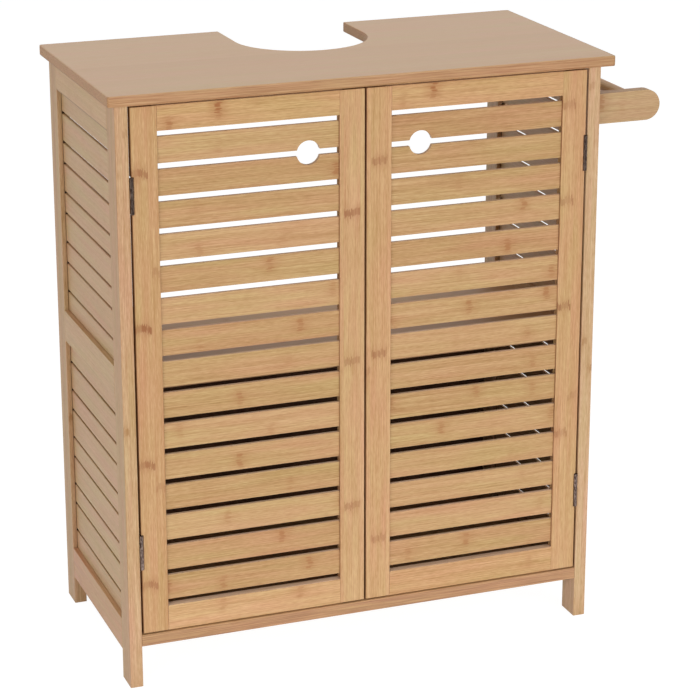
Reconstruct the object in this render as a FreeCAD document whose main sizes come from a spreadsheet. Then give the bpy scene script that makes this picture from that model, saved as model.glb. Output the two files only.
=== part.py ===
import FreeCAD, Part
import os
import re
import Sketcher
from FreeCAD import Vector

# Under-sink cabinet: slatted bamboo carcass, two slatted doors on butt hinges, towel rail on the right.
# Millimetres, +Z up, +X to the right and +Y to the back, seen from the front.
# The origin is on the floor, under the middle of the whole object, towel rail included.

# Driving dimensions.
sizes = {
    # Whole cabinet and top board
    "top_width": "600",
    "top_depth": "300",
    "total_height": "700",
    "top_thick": "12",
    "top_corner": "3",
    "top_ease": "0.8",
    "side_overhang": "11",
    "front_overhang": "15",
    # Cut-out for the pipe, open to the back
    "cut_width": "160",
    "cut_depth": "148",
    # Posts, side rails and side slats
    "post_width": "15",
    "post_depth": "33",
    "foot_clear": "36",
    "top_rail_height": "36",
    "side_rail_height": "38",
    "side_slat_thick": "4",
    "narrow_slat": "22.5",
    "wide_slat": "32.5",
    "wide_count": "4",
    "side_foot_gap": "0.4",
    "edge_ease": "0.6",
    # Grooves that hold slats and rails, and the play in them
    "groove_depth": "5",
    "groove_play": "0.1",
    "end_play": "0.5",
    # Boards inside
    "floor_height": "50",
    "floor_thick": "14",
    "shelf_rise": "11",
    "shelf_thick": "12",
    "shelf_setback": "15",
    "back_thick": "5",
    "panel_rebate": "5",
    # Doors
    "door_gap": "2.4",
    "door_top_gap": "5",
    "door_bottom_gap": "2.5",
    "door_thick": "10",
    "stile_width": "30",
    "door_rail_height": "30",
    "door_head_height": "28",
    "door_slat_height": "30",
    "door_slat_thick": "5",
    "door_slat_count": "15",
    "pull_diameter": "28",
    "pull_inset": "66",
    # Hinges
    "hinge_inset": "100",
    "hinge_head_inset": "98",
    "hinge_length": "40",
    "knuckle_count": "5",
    "barrel_radius": "2.25",
    "barrel_clear": "0.35",
    "knuckle_play": "0.2",
    "leaf_thick": "0.9",
    "leaf_width": "8.5",
    "pin_radius": "1.2",
    "pin_play": "0.05",
    "pin_head": "0.8",
    # Hinge screws
    "hinge_screw_spacing": "24",
    "hinge_screw_radius": "1.2",
    "hinge_screw_length": "10",
    "hinge_head_radius": "2.2",
    "hinge_head_height": "0.8",
    "screw_play": "0.05",
    # Towel rail
    "arm_length": "82",
    "arm_height": "36",
    "arm_thick": "15",
    "arm_drop": "37",
    "bar_radius": "7",
    "bar_socket": "9",
    "arm_screw_spacing": "18",
    "arm_screw_radius": "2",
    "arm_screw_length": "40",
    "arm_head_radius": "4",
    "arm_head_height": "2.5",
    # Dowels
    "dowel_radius": "3",
    "dowel_length": "24",
    "top_dowel_sink": "7",
    "rail_dowel_sink": "9",
    "dowel_inset": "50",
    # Magnetic catch
    "catch_width": "46",
    "catch_depth": "13",
    "catch_height": "14",
    "catch_gap": "0.4",
    "magnet_spacing": "24",
    "magnet_width": "14",
    "magnet_height": "7",
    "magnet_depth": "6",
    "magnet_drop": "5.5",
    "strike_width": "16",
    "strike_height": "16",
    "strike_thick": "1",
    "strike_drop": "0.5",
}

doc = FreeCAD.newDocument("under_sink_cabinet")
sheet = doc.addObject("Spreadsheet::Sheet", "Sizes")
for row, (alias, number) in enumerate(sizes.items(), start=1):
    sheet.set(f"A{row}", alias)
    sheet.set(f"B{row}", number)
    sheet.setAlias(f"B{row}", alias)
doc.recompute()

# Formulas that several pieces share, in words of the sheet.
centre = "((side_overhang - arm_length) / 2)"
half_body = "(top_width / 2 - side_overhang)"
half_inside = f"({half_body} - post_width)"
inside_width = f"(2 * {half_inside})"
front = "(front_overhang - top_depth / 2)"
back = "(top_depth / 2)"
carcass_top = "(total_height - top_thick)"
side_span = f"({back} - {front} - 2 * post_depth)"
tongue = "(groove_depth - end_play)"
section = f"(({carcass_top} - top_rail_height - foot_clear - 2 * side_rail_height) / 2)"
middle_low = f"(foot_clear + side_rail_height + {section})"
slat_pair = "(narrow_slat + wide_slat + 2 * side_foot_gap)"
side_room = f"floor(({section} - side_foot_gap - narrow_slat) / {slat_pair})"
wide_total = f"min(floor(wide_count); {side_room})"
narrow_total = f"({wide_total} + 1)"
side_slats_height = f"({narrow_total} * narrow_slat + {wide_total} * wide_slat)"
side_gap = f"(({section} - {side_slats_height} - side_foot_gap) / (2 * {narrow_total} - 1))"
side_pitch = f"(narrow_slat + wide_slat + 2 * {side_gap})"
shelf_low = f"({middle_low} + shelf_rise)"
board_back = f"({back} - back_thick)"
panel_height = f"({shelf_low} + shelf_thick - floor_height)"
floor_dowel_z = "(floor_thick / 2)"
shelf_dowel_z = "(shelf_thick / 2)"
door_low = "(floor_height + floor_thick + door_bottom_gap)"
door_high = f"({carcass_top} - door_top_gap)"
door_height = f"({door_high} - {door_low})"
door_width = f"({half_inside} - 1.5 * door_gap)"
door_slats = "floor(door_slat_count)"
plain_slats = f"({door_slats} - 2)"
door_slats_height = f"({door_slats} * door_slat_height)"
door_field = f"({door_height} - door_rail_height - door_head_height)"
door_slat_gap = f"(({door_field} - {door_slats_height}) / ({door_slats} + 1))"
door_pitch = f"(door_slat_height + {door_slat_gap})"
notch = "(2 * barrel_radius - door_gap)"
knuckle = "(hinge_length / floor(knuckle_count))"
post_knuckles = "floor((knuckle_count + 1) / 2)"
door_knuckles = "floor(knuckle_count / 2)"
pin_room = "(pin_head + end_play)"
hinge_low = f"({door_low} + hinge_inset - hinge_length / 2)"
hinge_step = f"({door_height} - hinge_inset - hinge_head_inset)"
leaf_hole_y = "((barrel_radius + barrel_clear + leaf_width) / 2)"
screw_low = "((hinge_length - hinge_screw_spacing) / 2)"
hinge_hole = "(hinge_screw_length - leaf_thick + end_play)"
arm_low = f"({carcass_top} - arm_drop - arm_height)"
arm_radius = "(arm_height / 2)"
arm_inset = "((post_depth - arm_thick) / 2)"
arm_screw_low = f"({arm_low} + (arm_height - arm_screw_spacing) / 2)"
catch_front = f"({front} + door_thick + strike_thick + catch_gap)"
groove_width = "(side_slat_thick + 2 * groove_play)"
door_groove = "(door_slat_thick + 2 * groove_play)"

# Signs and words for what differs between the two sides.
sides = {"left": -1, "right": 1}


def formula(text):
    def qualified(found):
        word = found.group()
        return "Sizes." + word if word in sizes else word

    return re.sub(r"[a-z_]+", qualified, text)


def new_body(name, x, y, z):
    body = doc.addObject("PartDesign::Body", name)
    body.Label = name
    for axis, place in zip("xyz", (x, y, z)):
        body.setExpression("Placement.Base." + axis, formula(place))
    return body


def origin_feature(body, role):
    return next(item for item in body.Origin.OriginFeatures if item.Role == role)


def new_sketch(body, plane, raised="0"):
    sketch = body.newObject("Sketcher::SketchObject", body.Name + "_sketch")
    sketch.AttachmentSupport = [(origin_feature(body, plane), "")]
    sketch.MapMode = "FlatFace"
    sketch.setExpression("AttachmentOffset.Base.z", formula(raised))
    return sketch


def bind_constraint(sketch, constraint, text):
    index = sketch.addConstraint(constraint)
    sketch.setExpression(f"Constraints[{index}]", formula(text))


def hold_point(sketch, geometry, point, x, y):
    bind_constraint(sketch, Sketcher.Constraint("DistanceX", -1, 1, geometry, point, 1.0), x)
    bind_constraint(sketch, Sketcher.Constraint("DistanceY", -1, 1, geometry, point, 1.0), y)


def draw_outline(sketch, corners):
    # A closed outline of straight lines through the corners, each held from the sketch's origin.
    count = len(corners)
    start = sketch.GeometryCount
    for index in range(count):
        here = Vector(index, index * index, 0)
        there = Vector(index + 1, (index + 1) ** 2, 0)
        sketch.addGeometry(Part.LineSegment(here, there))
    for index, (x, y) in enumerate(corners):
        following = (index + 1) % count
        sketch.addConstraint(Sketcher.Constraint("Coincident", start + index, 2, start + following, 1))
        hold_point(sketch, start + index, 1, x, y)


def draw_rectangle(sketch, low_x, low_y, high_x, high_y):
    draw_outline(sketch, [(low_x, low_y), (high_x, low_y), (high_x, high_y), (low_x, high_y)])


def draw_circle(sketch, x, y, radius):
    index = sketch.addGeometry(Part.Circle(Vector(1, 1, 0), Vector(0, 0, 1), 1))
    hold_point(sketch, index, 3, x, y)
    bind_constraint(sketch, Sketcher.Constraint("Radius", index, 1.0), radius)


def add_pad(body, sketch, length, reverse=False):
    pad = body.newObject("PartDesign::Pad", body.Name + "_pad")
    pad.Profile = sketch
    pad.Reversed = reverse
    pad.setExpression("Length", formula(length))
    doc.recompute()
    return pad


def add_cut(body, sketch, depth, reverse=False):
    before = body.Shape.Volume
    cut = body.newObject("PartDesign::Pocket", body.Name + "_cut")
    cut.Profile = sketch
    cut.Reversed = reverse
    cut.setExpression("Length", formula(depth))
    doc.recompute()
    if body.Shape.Volume >= before:
        raise RuntimeError(body.Label + ": a cut takes nothing away")
    return cut


def repeat(body, features, axis, count, step, axis_two=None, count_two="1", step_two="0"):
    # A row of copies along one axis, or a grid along two.
    pattern = body.newObject("PartDesign::LinearPattern", body.Name + "_row")
    pattern.Originals = features
    pattern.Direction = (origin_feature(body, axis + "_Axis"), [""])
    pattern.setExpression("Length", formula(f"({count} - 1) * {step}"))
    pattern.setExpression("Occurrences", formula(count))
    if axis_two:
        pattern.Direction2 = (origin_feature(body, axis_two + "_Axis"), [""])
        pattern.setExpression("Length2", formula(f"({count_two} - 1) * {step_two}"))
        pattern.setExpression("Occurrences2", formula(count_two))
    body.Tip = pattern
    doc.recompute()
    return pattern


def ease_edges(body, axis, size="edge_ease"):
    # A small chamfer on every straight edge that runs along the axis.
    direction = {"x": Vector(1, 0, 0), "y": Vector(0, 1, 0), "z": Vector(0, 0, 1)}[axis]
    names = []
    for index, edge in enumerate(body.Shape.Edges, start=1):
        along = edge.Vertexes[-1].Point - edge.Vertexes[0].Point
        if along.cross(direction).Length < 0.001:
            names.append(f"Edge{index}")
    chamfer = body.newObject("PartDesign::Chamfer", body.Name + "_ease")
    chamfer.Base = (chamfer.BaseFeature or body.Tip, names)
    chamfer.setExpression("Size", formula(size))
    body.Tip = chamfer
    doc.recompute()


def make_board(name, place, size, ease=None):
    # A rectangular board, its low corner at the body's origin, with its long edges eased.
    body = new_body(name, *place)
    width, depth, height = size
    sketch = new_sketch(body, "XY_Plane")
    draw_rectangle(sketch, "0", "0", width, depth)
    add_pad(body, sketch, height)
    if ease:
        ease_edges(body, ease)
    return body


def cut_box(body, low, high, height_from, height):
    # A box cut out of a body, given by its plan corners and its stretch of height.
    sketch = new_sketch(body, "XY_Plane", height_from)
    draw_rectangle(sketch, *low, *high)
    return add_cut(body, sketch, height, reverse=True)


def drill_sideways(body, holes, radius, depth, face_x, inwards):
    # Round holes along X from the plane at face_x: inwards is +1 to drill towards +X.
    sketch = new_sketch(body, "YZ_Plane", face_x)
    for y, z in holes:
        draw_circle(sketch, y, z, radius)
    return add_cut(body, sketch, depth, reverse=inwards > 0)


def drill_back(body, holes, radius, depth, face_y, inwards):
    # Round holes along Y from the plane at face_y: inwards is +1 to drill towards +Y.
    sketch = new_sketch(body, "XZ_Plane", f"-({face_y})")
    for x, z in holes:
        draw_circle(sketch, x, z, radius)
    return add_cut(body, sketch, depth, reverse=inwards < 0)


def drill_up(body, holes, radius, depth, face_z, inwards):
    # Round holes along Z from the plane at face_z: inwards is +1 to drill upwards.
    sketch = new_sketch(body, "XY_Plane", face_z)
    for x, y in holes:
        draw_circle(sketch, x, y, radius)
    return add_cut(body, sketch, depth, reverse=inwards > 0)


def outer_x(side, width):
    # The low X of a piece as thick as the posts, on the outside of one side frame.
    return f"{centre} - {half_body}" if side == "left" else f"{centre} + {half_body} - {width}"


def mirrored(side, from_left, width):
    # A local X measured from the left edge on the left side and from the right edge on the right.
    return from_left if side == "left" else f"({width} - {from_left})"


def make_top_board():
    body = make_board(
        "top_board",
        (f"{centre} - top_width / 2", "-top_depth / 2", carcass_top),
        ("top_width", "top_depth", "top_thick"),
    )
    board = body.Tip
    upright = [
        f"Edge{index}"
        for index, edge in enumerate(board.Shape.Edges, start=1)
        if abs(edge.tangentAt(edge.FirstParameter).z) > 0.99
    ]
    corners = body.newObject("PartDesign::Fillet", "top_corners")
    corners.Base = (board, upright)
    corners.setExpression("Radius", formula("top_corner"))
    body.Tip = corners
    doc.recompute()
    faces = [
        f"Face{index}"
        for index, face in enumerate(body.Shape.Faces, start=1)
        if abs(face.normalAt(0, 0).z) > 0.99
    ]
    rim = body.newObject("PartDesign::Chamfer", "top_rim")
    rim.Base = (corners, faces)
    rim.setExpression("Size", formula("top_ease"))
    body.Tip = rim
    doc.recompute()
    round_y = "(top_depth - cut_depth + cut_width / 2)"
    drill_up(body, [("top_width / 2", round_y)], "cut_width / 2", "top_thick", "0", 1)
    cut_box(
        body,
        ("(top_width - cut_width) / 2", round_y),
        ("(top_width + cut_width) / 2", "top_depth + top_corner"),
        "0",
        "top_thick",
    )
    near_x = "side_overhang + post_width / 2"
    near_y = "front_overhang + post_depth / 2"
    far_y = "top_depth - post_depth / 2"
    holes = [(x, y) for x in (near_x, f"top_width - ({near_x})") for y in (near_y, far_y)]
    drill_up(body, holes, "dowel_radius + screw_play", "top_dowel_sink", "0", 1)


def make_post(side, row):
    place_y = front if row == "front" else f"{back} - post_depth"
    body = make_board(
        f"{row}_{side}_post",
        (outer_x(side, "post_width"), place_y, "0"),
        ("post_width", "post_depth", carcass_top),
        ease="z",
    )
    # Groove for the tongues of the side rails and slats, open at the top
    groove_low = "post_depth - groove_depth" if row == "front" else "0"
    groove_high = "post_depth" if row == "front" else "groove_depth"
    cut_box(
        body,
        (f"(post_width - {groove_width}) / 2", groove_low),
        (f"(post_width + {groove_width}) / 2", groove_high),
        "foot_clear",
        f"{carcass_top} - foot_clear",
    )
    dowel_hole = [("post_width / 2", "post_depth / 2")]
    dowel_depth = "dowel_length - top_dowel_sink + end_play"
    drill_up(body, dowel_hole, "dowel_radius + screw_play", dowel_depth, carcass_top, -1)
    if row == "front":
        seat_hinges_on_post(body, side)
    else:
        cut_panel_rebate(body, side)
    if side == "right":
        drill_for_arm(body)
    return body


def seat_hinges_on_post(body, side):
    # A shallow relief round each barrel and the pilot holes of the hinge screws.
    barrel_x = mirrored(side, "(post_width + barrel_radius)", "post_width")
    sketch = new_sketch(body, "XY_Plane", f"{hinge_low} - {pin_room}")
    draw_circle(sketch, barrel_x, "0", "barrel_radius + barrel_clear")
    relief = add_cut(body, sketch, f"hinge_length + 2 * {pin_room}", reverse=True)
    inner_face = mirrored(side, "post_width", "post_width")
    holes = [(leaf_hole_y, f"{hinge_low} + {screw_low} + {step}") for step in ("0", "hinge_screw_spacing")]
    inwards = -1 if side == "left" else 1
    pilots = drill_sideways(body, holes, "hinge_screw_radius + screw_play", hinge_hole, inner_face, inwards)
    repeat(body, [relief, pilots], "Z", "2", hinge_step)


def cut_panel_rebate(body, side):
    # The inner back corner is cut away for the end of the lower back panel.
    rebate_front = "post_depth - back_thick - groove_play"
    cut_box(
        body,
        (mirrored(side, "(post_width - panel_rebate)", "post_width"), rebate_front),
        (mirrored(side, "post_width", "post_width"), "post_depth"),
        "floor_height - end_play",
        f"{panel_height} + 2 * end_play",
    )


def drill_for_arm(body):
    # Two screws pass through the post into the towel arm, their heads let in on the inside.
    holes = [("post_depth / 2", f"{arm_screw_low} + {step}") for step in ("0", "arm_screw_spacing")]
    drill_sideways(body, holes, "arm_screw_radius + screw_play", "post_width", "0", 1)
    drill_sideways(body, holes, "arm_head_radius + screw_play", "arm_head_height", "0", 1)


def make_side_rail(side, name, low, height, dowel_z=None):
    # A rail between the posts, with a tongue at each end that fits the posts' grooves.
    rail_y = f"{front} + post_depth - {tongue}"
    body = new_body(f"{side}_{name}_rail", outer_x(side, "post_width"), rail_y, low)
    near = "(post_width - side_slat_thick) / 2"
    far = "(post_width + side_slat_thick) / 2"
    first = tongue
    last = f"({tongue} + {side_span})"
    end = f"(2 * {tongue} + {side_span})"
    sketch = new_sketch(body, "XY_Plane")
    draw_outline(sketch, [
        ("0", first), (near, first), (near, "0"), (far, "0"), (far, first), ("post_width", first),
        ("post_width", last), (far, last), (far, end), (near, end), (near, last), ("0", last),
    ])
    add_pad(body, sketch, height)
    if dowel_z:
        inner_face = mirrored(side, "post_width", "post_width")
        inwards = -1 if side == "left" else 1
        rows = [f"{tongue} + dowel_inset", f"{tongue} + {side_span} - dowel_inset"]
        holes = [(y, dowel_z) for y in rows]
        drill_sideways(body, holes, "dowel_radius + screw_play", "rail_dowel_sink", inner_face, inwards)


def make_side_slats(side, place, low):
    # Wide and narrow slats in turn, starting and ending with a narrow one.
    slat_x = f"{outer_x(side, 'post_width')} + (post_width - side_slat_thick) / 2"
    slat_y = f"{front} + post_depth - {tongue}"
    length = f"({side_span} + 2 * {tongue})"
    rows = {
        "narrow": (f"{low} + side_foot_gap", "narrow_slat", narrow_total),
        "wide": (f"{low} + side_foot_gap + narrow_slat + {side_gap}", "wide_slat", wide_total),
    }
    for kind, (first, height, count) in rows.items():
        body = make_board(
            f"{side}_{place}_{kind}_slats",
            (slat_x, slat_y, first),
            ("side_slat_thick", length, height),
        )
        repeat(body, [body.Tip], "Z", count, side_pitch)
        ease_edges(body, "y")


def make_inner_boards():
    # Bottom board and shelf with the holes of their dowels, and the lower back panel.
    inside_x = f"{centre} - {half_inside}"
    first_row = f"({front} + post_depth + dowel_inset)"
    last_row = f"({back} - post_depth - dowel_inset)"
    boards = {
        "bottom_board": (front, "floor_height", "floor_thick", floor_dowel_z),
        "shelf": (f"({front} + shelf_setback)", shelf_low, "shelf_thick", shelf_dowel_z),
    }
    for name, (board_front, low, thick, dowel_z) in boards.items():
        depth = f"({board_back} - {board_front})"
        body = make_board(name, (inside_x, board_front, low), (inside_width, depth, thick), ease="x")
        holes = [(f"{row} - {board_front}", dowel_z) for row in (first_row, last_row)]
        sink = "dowel_length - rail_dowel_sink + end_play"
        drill_sideways(body, holes, "dowel_radius + screw_play", sink, "0", 1)
        drill_sideways(body, holes, "dowel_radius + screw_play", sink, inside_width, -1)
    # The panel closes the lower half of the back, its ends in rebates of the rear posts
    panel_reach = "(panel_rebate - end_play)"
    make_board(
        "lower_back_panel",
        (f"{inside_x} - {panel_reach}", board_back, "floor_height"),
        (f"{inside_width} + 2 * {panel_reach}", "back_thick", panel_height),
    )


def make_dowels():
    radius = "dowel_radius"
    top = new_body(
        "top_dowels",
        f"{centre} - {half_body} + post_width / 2",
        f"{front} + post_depth / 2",
        f"{carcass_top} + top_dowel_sink - dowel_length",
    )
    sketch = new_sketch(top, "XY_Plane")
    draw_circle(sketch, "0", "0", radius)
    pad = add_pad(top, sketch, "dowel_length")
    repeat(top, [pad], "X", "2", f"(2 * {half_body} - post_width)", "Y", "2", f"({side_span} + post_depth)")
    levels = {
        "bottom_board_dowels": f"floor_height + {floor_dowel_z}",
        "shelf_dowels": f"{shelf_low} + {shelf_dowel_z}",
    }
    for name, level in levels.items():
        body = new_body(
            name,
            f"{centre} - {half_inside} - rail_dowel_sink + end_play",
            f"{front} + post_depth + dowel_inset",
            level,
        )
        sketch = new_sketch(body, "YZ_Plane")
        draw_circle(sketch, "0", "0", radius)
        pad = add_pad(body, sketch, "dowel_length - end_play")
        apart = f"({inside_width} + 2 * rail_dowel_sink - end_play - dowel_length)"
        repeat(body, [pad], "X", "2", apart, "Y", "2", f"({side_span} - 2 * dowel_inset)")


def make_screw(body, plane, sizes_of_screw, reverse):
    # A round head on one side of the plane and a plain shank on the other.
    head_radius, head_height, shank_radius, shank_length = sizes_of_screw
    head_sketch = new_sketch(body, plane)
    draw_circle(head_sketch, "0", "0", head_radius)
    head = add_pad(body, head_sketch, head_height, reverse)
    shank_sketch = new_sketch(body, plane)
    draw_circle(shank_sketch, "0", "0", shank_radius)
    shank = add_pad(body, shank_sketch, shank_length, not reverse)
    return [head, shank]


def make_towel_rail():
    arm_x = f"{centre} + {half_body}"
    tip = f"(arm_length - {arm_radius})"
    socket_radius = "bar_radius + groove_play"
    rows = {"front": f"({front} + {arm_inset})", "rear": f"({back} - post_depth + {arm_inset})"}
    for row, arm_y in rows.items():
        body = new_body(f"{row}_towel_arm", arm_x, arm_y, arm_low)
        beam = new_sketch(body, "XZ_Plane")
        draw_rectangle(beam, "0", "0", tip, "arm_height")
        add_pad(body, beam, "arm_thick", reverse=True)
        nose = new_sketch(body, "XZ_Plane")
        draw_circle(nose, tip, arm_radius, arm_radius)
        add_pad(body, nose, "arm_thick", reverse=True)
        facing = "arm_thick" if row == "front" else "0"
        inwards = -1 if row == "front" else 1
        drill_back(body, [(tip, arm_radius)], socket_radius, "bar_socket", facing, inwards)
        low = "(arm_height - arm_screw_spacing) / 2"
        holes = [("arm_thick / 2", low), ("arm_thick / 2", f"{low} + arm_screw_spacing")]
        hole_depth = "arm_screw_length - post_width + arm_head_height + end_play"
        drill_sideways(body, holes, "arm_screw_radius + screw_play", hole_depth, "0", 1)
    bar_front = f"({rows['front']} + arm_thick - bar_socket + end_play)"
    bar_back = f"({rows['rear']} + bar_socket - end_play)"
    bar = new_body("towel_bar", f"{arm_x} + {tip}", bar_front, f"{arm_low} + {arm_radius}")
    sketch = new_sketch(bar, "XZ_Plane")
    draw_circle(sketch, "0", "0", "bar_radius")
    add_pad(bar, sketch, f"{bar_back} - {bar_front}", reverse=True)
    screws = new_body(
        "towel_arm_screws",
        f"{centre} + {half_inside} + arm_head_height",
        f"{front} + post_depth / 2",
        arm_screw_low,
    )
    screw_sizes = ("arm_head_radius", "arm_head_height", "arm_screw_radius", "arm_screw_length")
    screw = make_screw(screws, "YZ_Plane", screw_sizes, True)
    repeat(screws, screw, "Z", "2", "arm_screw_spacing", "Y", "2", f"({side_span} + post_depth)")


def hinge_axis_x(side):
    sign = "-" if side == "left" else "+"
    return f"({centre} {sign} ({half_inside} - barrel_radius))"


def make_hinge_leaf(name, side, level, wall, slot_from, slot_count):
    # A plate whose edge is rolled into knuckles, with gaps for the knuckles of the other leaf.
    # The wall is where the plate lies: -1 on the left of the barrel, +1 on its right.
    body = new_body(name, hinge_axis_x(side), front, level)
    barrel = new_sketch(body, "XY_Plane")
    draw_circle(barrel, "0", "0", "barrel_radius")
    add_pad(body, barrel, "hinge_length")
    plate = new_sketch(body, "XY_Plane")
    outside = "-barrel_radius" if wall < 0 else "barrel_radius - leaf_thick"
    inside = "leaf_thick - barrel_radius" if wall < 0 else "barrel_radius"
    draw_rectangle(plate, outside, "0", inside, "leaf_width")
    add_pad(body, plate, "hinge_length")
    reach = "2 * barrel_radius"
    slot = cut_box(
        body,
        (f"-{reach}", f"-{reach}"),
        (reach, "barrel_radius + barrel_clear"),
        f"{slot_from} - knuckle_play / 2",
        f"{knuckle} + knuckle_play",
    )
    repeat(body, [slot], "Z", slot_count, f"(2 * {knuckle})")
    drill_up(body, [("0", "0")], "pin_radius + pin_play", "hinge_length", "0", 1)
    holes = [(leaf_hole_y, screw_low), (leaf_hole_y, f"{screw_low} + hinge_screw_spacing")]
    drill_sideways(body, holes, "hinge_screw_radius + screw_play", "leaf_thick", outside, 1)


def make_hinges(side):
    post_wall = sides[side]
    rows = {"lower": hinge_low, "upper": f"({hinge_low} + {hinge_step})"}
    for row, level in rows.items():
        make_hinge_leaf(f"{side}_{row}_hinge_post_leaf", side, level, post_wall, knuckle, door_knuckles)
        make_hinge_leaf(f"{side}_{row}_hinge_door_leaf", side, level, -post_wall, "0", post_knuckles)
    # Screws of the leaves on the post, then of the leaves on the door
    owners = {f"{side}_post_hinge_screws": post_wall, f"{side}_door_hinge_screws": -post_wall}
    screw_sizes = ("hinge_head_radius", "hinge_head_height", "hinge_screw_radius", "hinge_screw_length")
    for name, wall in owners.items():
        plate_face = "(barrel_radius - leaf_thick)"
        sign = "-" if wall < 0 else "+"
        body = new_body(
            name,
            f"{hinge_axis_x(side)} {sign} {plate_face}",
            f"{front} + {leaf_hole_y}",
            f"{hinge_low} + {screw_low}",
        )
        screw = make_screw(body, "YZ_Plane", screw_sizes, wall > 0)
        repeat(body, screw, "Z", "2", "hinge_screw_spacing", "Z", "2", hinge_step)


def make_hinge_pins():
    # One headed pin for each hinge, a stepped profile turned about the barrel's axis.
    body = new_body("hinge_pins", hinge_axis_x("left"), front, hinge_low)
    profile = new_sketch(body, "XZ_Plane")
    head_radius = "(barrel_radius - knuckle_play)"
    draw_outline(profile, [
        ("0", "-pin_head"), (head_radius, "-pin_head"), (head_radius, "0"), ("pin_radius", "0"),
        ("pin_radius", "hinge_length"), (head_radius, "hinge_length"),
        (head_radius, "hinge_length + pin_head"), ("0", "hinge_length + pin_head"),
    ])
    turned = body.newObject("PartDesign::Revolution", "hinge_pins_turned")
    turned.Profile = profile
    turned.ReferenceAxis = (profile, ["V_Axis"])
    turned.Angle = 360
    doc.recompute()
    apart = f"(2 * ({half_inside} - barrel_radius))"
    repeat(body, [turned], "X", "2", apart, "Z", "2", hinge_step)


def make_door(side):
    name = f"{side}_door"
    low_x = f"({centre} - {half_inside} + door_gap)" if side == "left" else f"({centre} + door_gap / 2)"
    far_x = f"({low_x} + {door_width} - stile_width)"
    hinge_x, latch_x = (low_x, far_x) if side == "left" else (far_x, low_x)
    make_hinge_stile(name, side, hinge_x)
    latch = make_board(
        f"{name}_latch_stile",
        (latch_x, front, door_low),
        ("stile_width", "door_thick", door_height),
        ease="z",
    )
    cut_stile_groove(latch, mirrored(side, "0", "stile_width"), mirrored(side, "groove_depth", "stile_width"))
    make_door_rails(name, low_x)
    make_door_slats(name, side, low_x)
    magnet_x = f"{centre} {'-' if side == 'left' else '+'} magnet_spacing / 2"
    strike_low = f"{door_high} - strike_drop - strike_height"
    make_board(
        f"{name}_strike_plate",
        (f"{magnet_x} - strike_width / 2", f"{front} + door_thick", strike_low),
        ("strike_width", "strike_thick", "strike_height"),
    )


def cut_stile_groove(body, edge_x, bottom_x):
    # The groove runs the whole length of the stile and takes rail tongues and slat ends.
    cut_box(
        body,
        (edge_x, f"(door_thick - {door_groove}) / 2"),
        (bottom_x, f"(door_thick + {door_groove}) / 2"),
        "0",
        door_height,
    )


def make_hinge_stile(name, side, stile_x):
    body = make_board(
        f"{name}_hinge_stile",
        (stile_x, front, door_low),
        ("stile_width", "door_thick", door_height),
        ease="z",
    )
    far = "stile_width"
    cut_stile_groove(body, mirrored(side, far, far), mirrored(side, "(stile_width - groove_depth)", far))
    # Notch that seats the leaf, relief round the barrel and pilot holes, at both hinges
    low = f"({hinge_low} - {door_low})"
    seat = cut_box(
        body,
        (mirrored(side, "0", far), "0"),
        (mirrored(side, notch, far), "door_thick"),
        f"{low} - end_play",
        "hinge_length + 2 * end_play",
    )
    relief_sketch = new_sketch(body, "XY_Plane", f"{low} - {pin_room}")
    barrel_x = mirrored(side, "(barrel_radius - door_gap)", far)
    draw_circle(relief_sketch, barrel_x, "0", "barrel_radius + barrel_clear")
    relief = add_cut(body, relief_sketch, f"hinge_length + 2 * {pin_room}", reverse=True)
    holes = [(leaf_hole_y, f"{low} + {screw_low} + {step}") for step in ("0", "hinge_screw_spacing")]
    inwards = 1 if side == "left" else -1
    hole_depth = f"{notch} + {hinge_hole}"
    pilots = drill_sideways(
        body, holes, "hinge_screw_radius + screw_play", hole_depth, mirrored(side, "0", far), inwards
    )
    repeat(body, [seat, relief, pilots], "Z", "2", hinge_step)


def make_door_rails(name, low_x):
    # Rails between the stiles, with tongues for the stiles' grooves.
    rail_x = f"{low_x} + stile_width - {tongue}"
    near = "(door_thick - door_slat_thick) / 2"
    far = "(door_thick + door_slat_thick) / 2"
    first = tongue
    last = f"({tongue} + {door_width} - 2 * stile_width)"
    end = f"(2 * {tongue} + {door_width} - 2 * stile_width)"
    rails = {
        "bottom": (door_low, "door_rail_height"),
        "top": (f"{door_high} - door_head_height", "door_head_height"),
    }
    for place, (level, height) in rails.items():
        body = new_body(f"{name}_{place}_rail", rail_x, front, level)
        sketch = new_sketch(body, "XY_Plane")
        draw_outline(sketch, [
            (first, "0"), (last, "0"), (last, near), (end, near), (end, far), (last, far),
            (last, "door_thick"), (first, "door_thick"), (first, far), ("0", far), ("0", near), (first, near),
        ])
        add_pad(body, sketch, height)


def make_door_slats(name, side, low_x):
    slat_x = f"{low_x} + stile_width - {tongue}"
    slat_y = f"{front} + (door_thick - door_slat_thick) / 2"
    length = f"({door_width} - 2 * stile_width + 2 * {tongue})"
    first = f"({door_low} + door_rail_height + {door_slat_gap})"
    plain = make_board(
        f"{name}_plain_slats",
        (slat_x, slat_y, first),
        (length, "door_slat_thick", "door_slat_height"),
    )
    repeat(plain, [plain.Tip], "Z", plain_slats, door_pitch)
    ease_edges(plain, "x")
    # The two highest slats share a round finger pull, half in each
    pull = make_board(
        f"{name}_pull_slats",
        (slat_x, slat_y, f"{first} + {plain_slats} * {door_pitch}"),
        (length, "door_slat_thick", "door_slat_height"),
    )
    repeat(pull, [pull.Tip], "Z", "2", door_pitch)
    ease_edges(pull, "x")
    from_latch = f"(stile_width - {tongue})"
    pull_x = f"(pull_inset - {from_latch})" if side == "right" else f"({length} - pull_inset + {from_latch})"
    pull_z = f"(door_slat_height + {door_slat_gap} / 2)"
    drill_back(pull, [(pull_x, pull_z)], "pull_diameter / 2", "door_slat_thick", "0", 1)


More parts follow.
